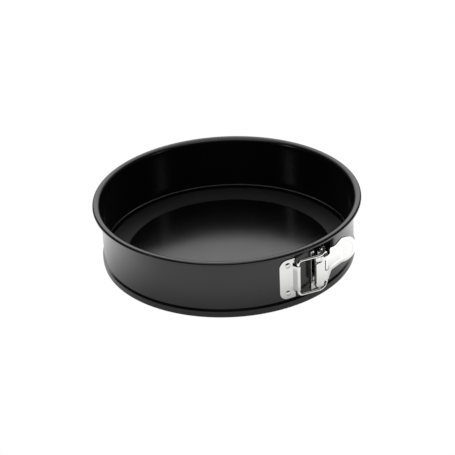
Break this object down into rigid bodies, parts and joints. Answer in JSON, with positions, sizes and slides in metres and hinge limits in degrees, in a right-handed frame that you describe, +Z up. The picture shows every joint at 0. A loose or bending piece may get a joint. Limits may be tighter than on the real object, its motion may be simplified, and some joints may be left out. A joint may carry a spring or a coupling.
{
  "type": "springform pan",
  "caption": "Round springform baking pan: loose base plate held in the bead of a split side band, closed by an over-centre wire-bail clasp with a finger lever.",
  "frame": {"origin": "on the pan's axis, in the plane it stands on, at the middle of the base's underside", "axes": "+Z up along the pan's axis; -Y towards the seam and its clasp; +X to the right for someone who faces the clasp"},
  "size_m": [0.277, 0.2791, 0.065],
  "materials": {
    "coating": "satin black non-stick coating on thin steel sheet",
    "clasp_plate": "bright plated pressed steel",
    "wire": "bright plated steel wire"
  },
  "bodies": {
    "base": {"base_plate": "coating"},
    "ring_right": {"band_right": "coating", "bracket": "clasp_plate", "bracket_rivet_upper": "clasp_plate", "bracket_rivet_lower": "clasp_plate", "pivot_pin": "wire"},
    "ring_left": {"band_left": "coating", "strike_plate": "clasp_plate", "strike_rivet_upper": "clasp_plate", "strike_rivet_lower": "clasp_plate"},
    "lever": {"lever": "clasp_plate"},
    "bail": {"bail": "wire"}
  },
  "joints": [
    {"name": "ring_lift", "type": "slide", "parent": "base", "child": "ring_right", "axis": [0, 0, 1], "range_m": [0, 0.08]},
    {"name": "lever_swing", "type": "hinge", "parent": "ring_right", "child": "lever", "pos_m": [0.0049, -0.136, 0.032], "axis": [0, 0, -1], "range_deg": [0, 110]},
    {"name": "band_spring", "type": "hinge", "parent": "ring_right", "child": "ring_left", "pos_m": [0, 0.1386, 0.032], "axis": [0, 0, -1], "range_deg": [0, 2.65]},
    {"name": "bail_swing", "type": "hinge", "parent": "ring_left", "child": "bail", "pos_m": [-0.0168, -0.1335, 0.032], "axis": [0, 0, -1], "range_deg": [0, 21]}
  ],
  "couplings": [
    {"joint": "band_spring", "follows": "lever_swing", "ratio": 0.0237},
    {"joint": "bail_swing", "follows": "lever_swing", "ratio": 0.1901}
  ]
}
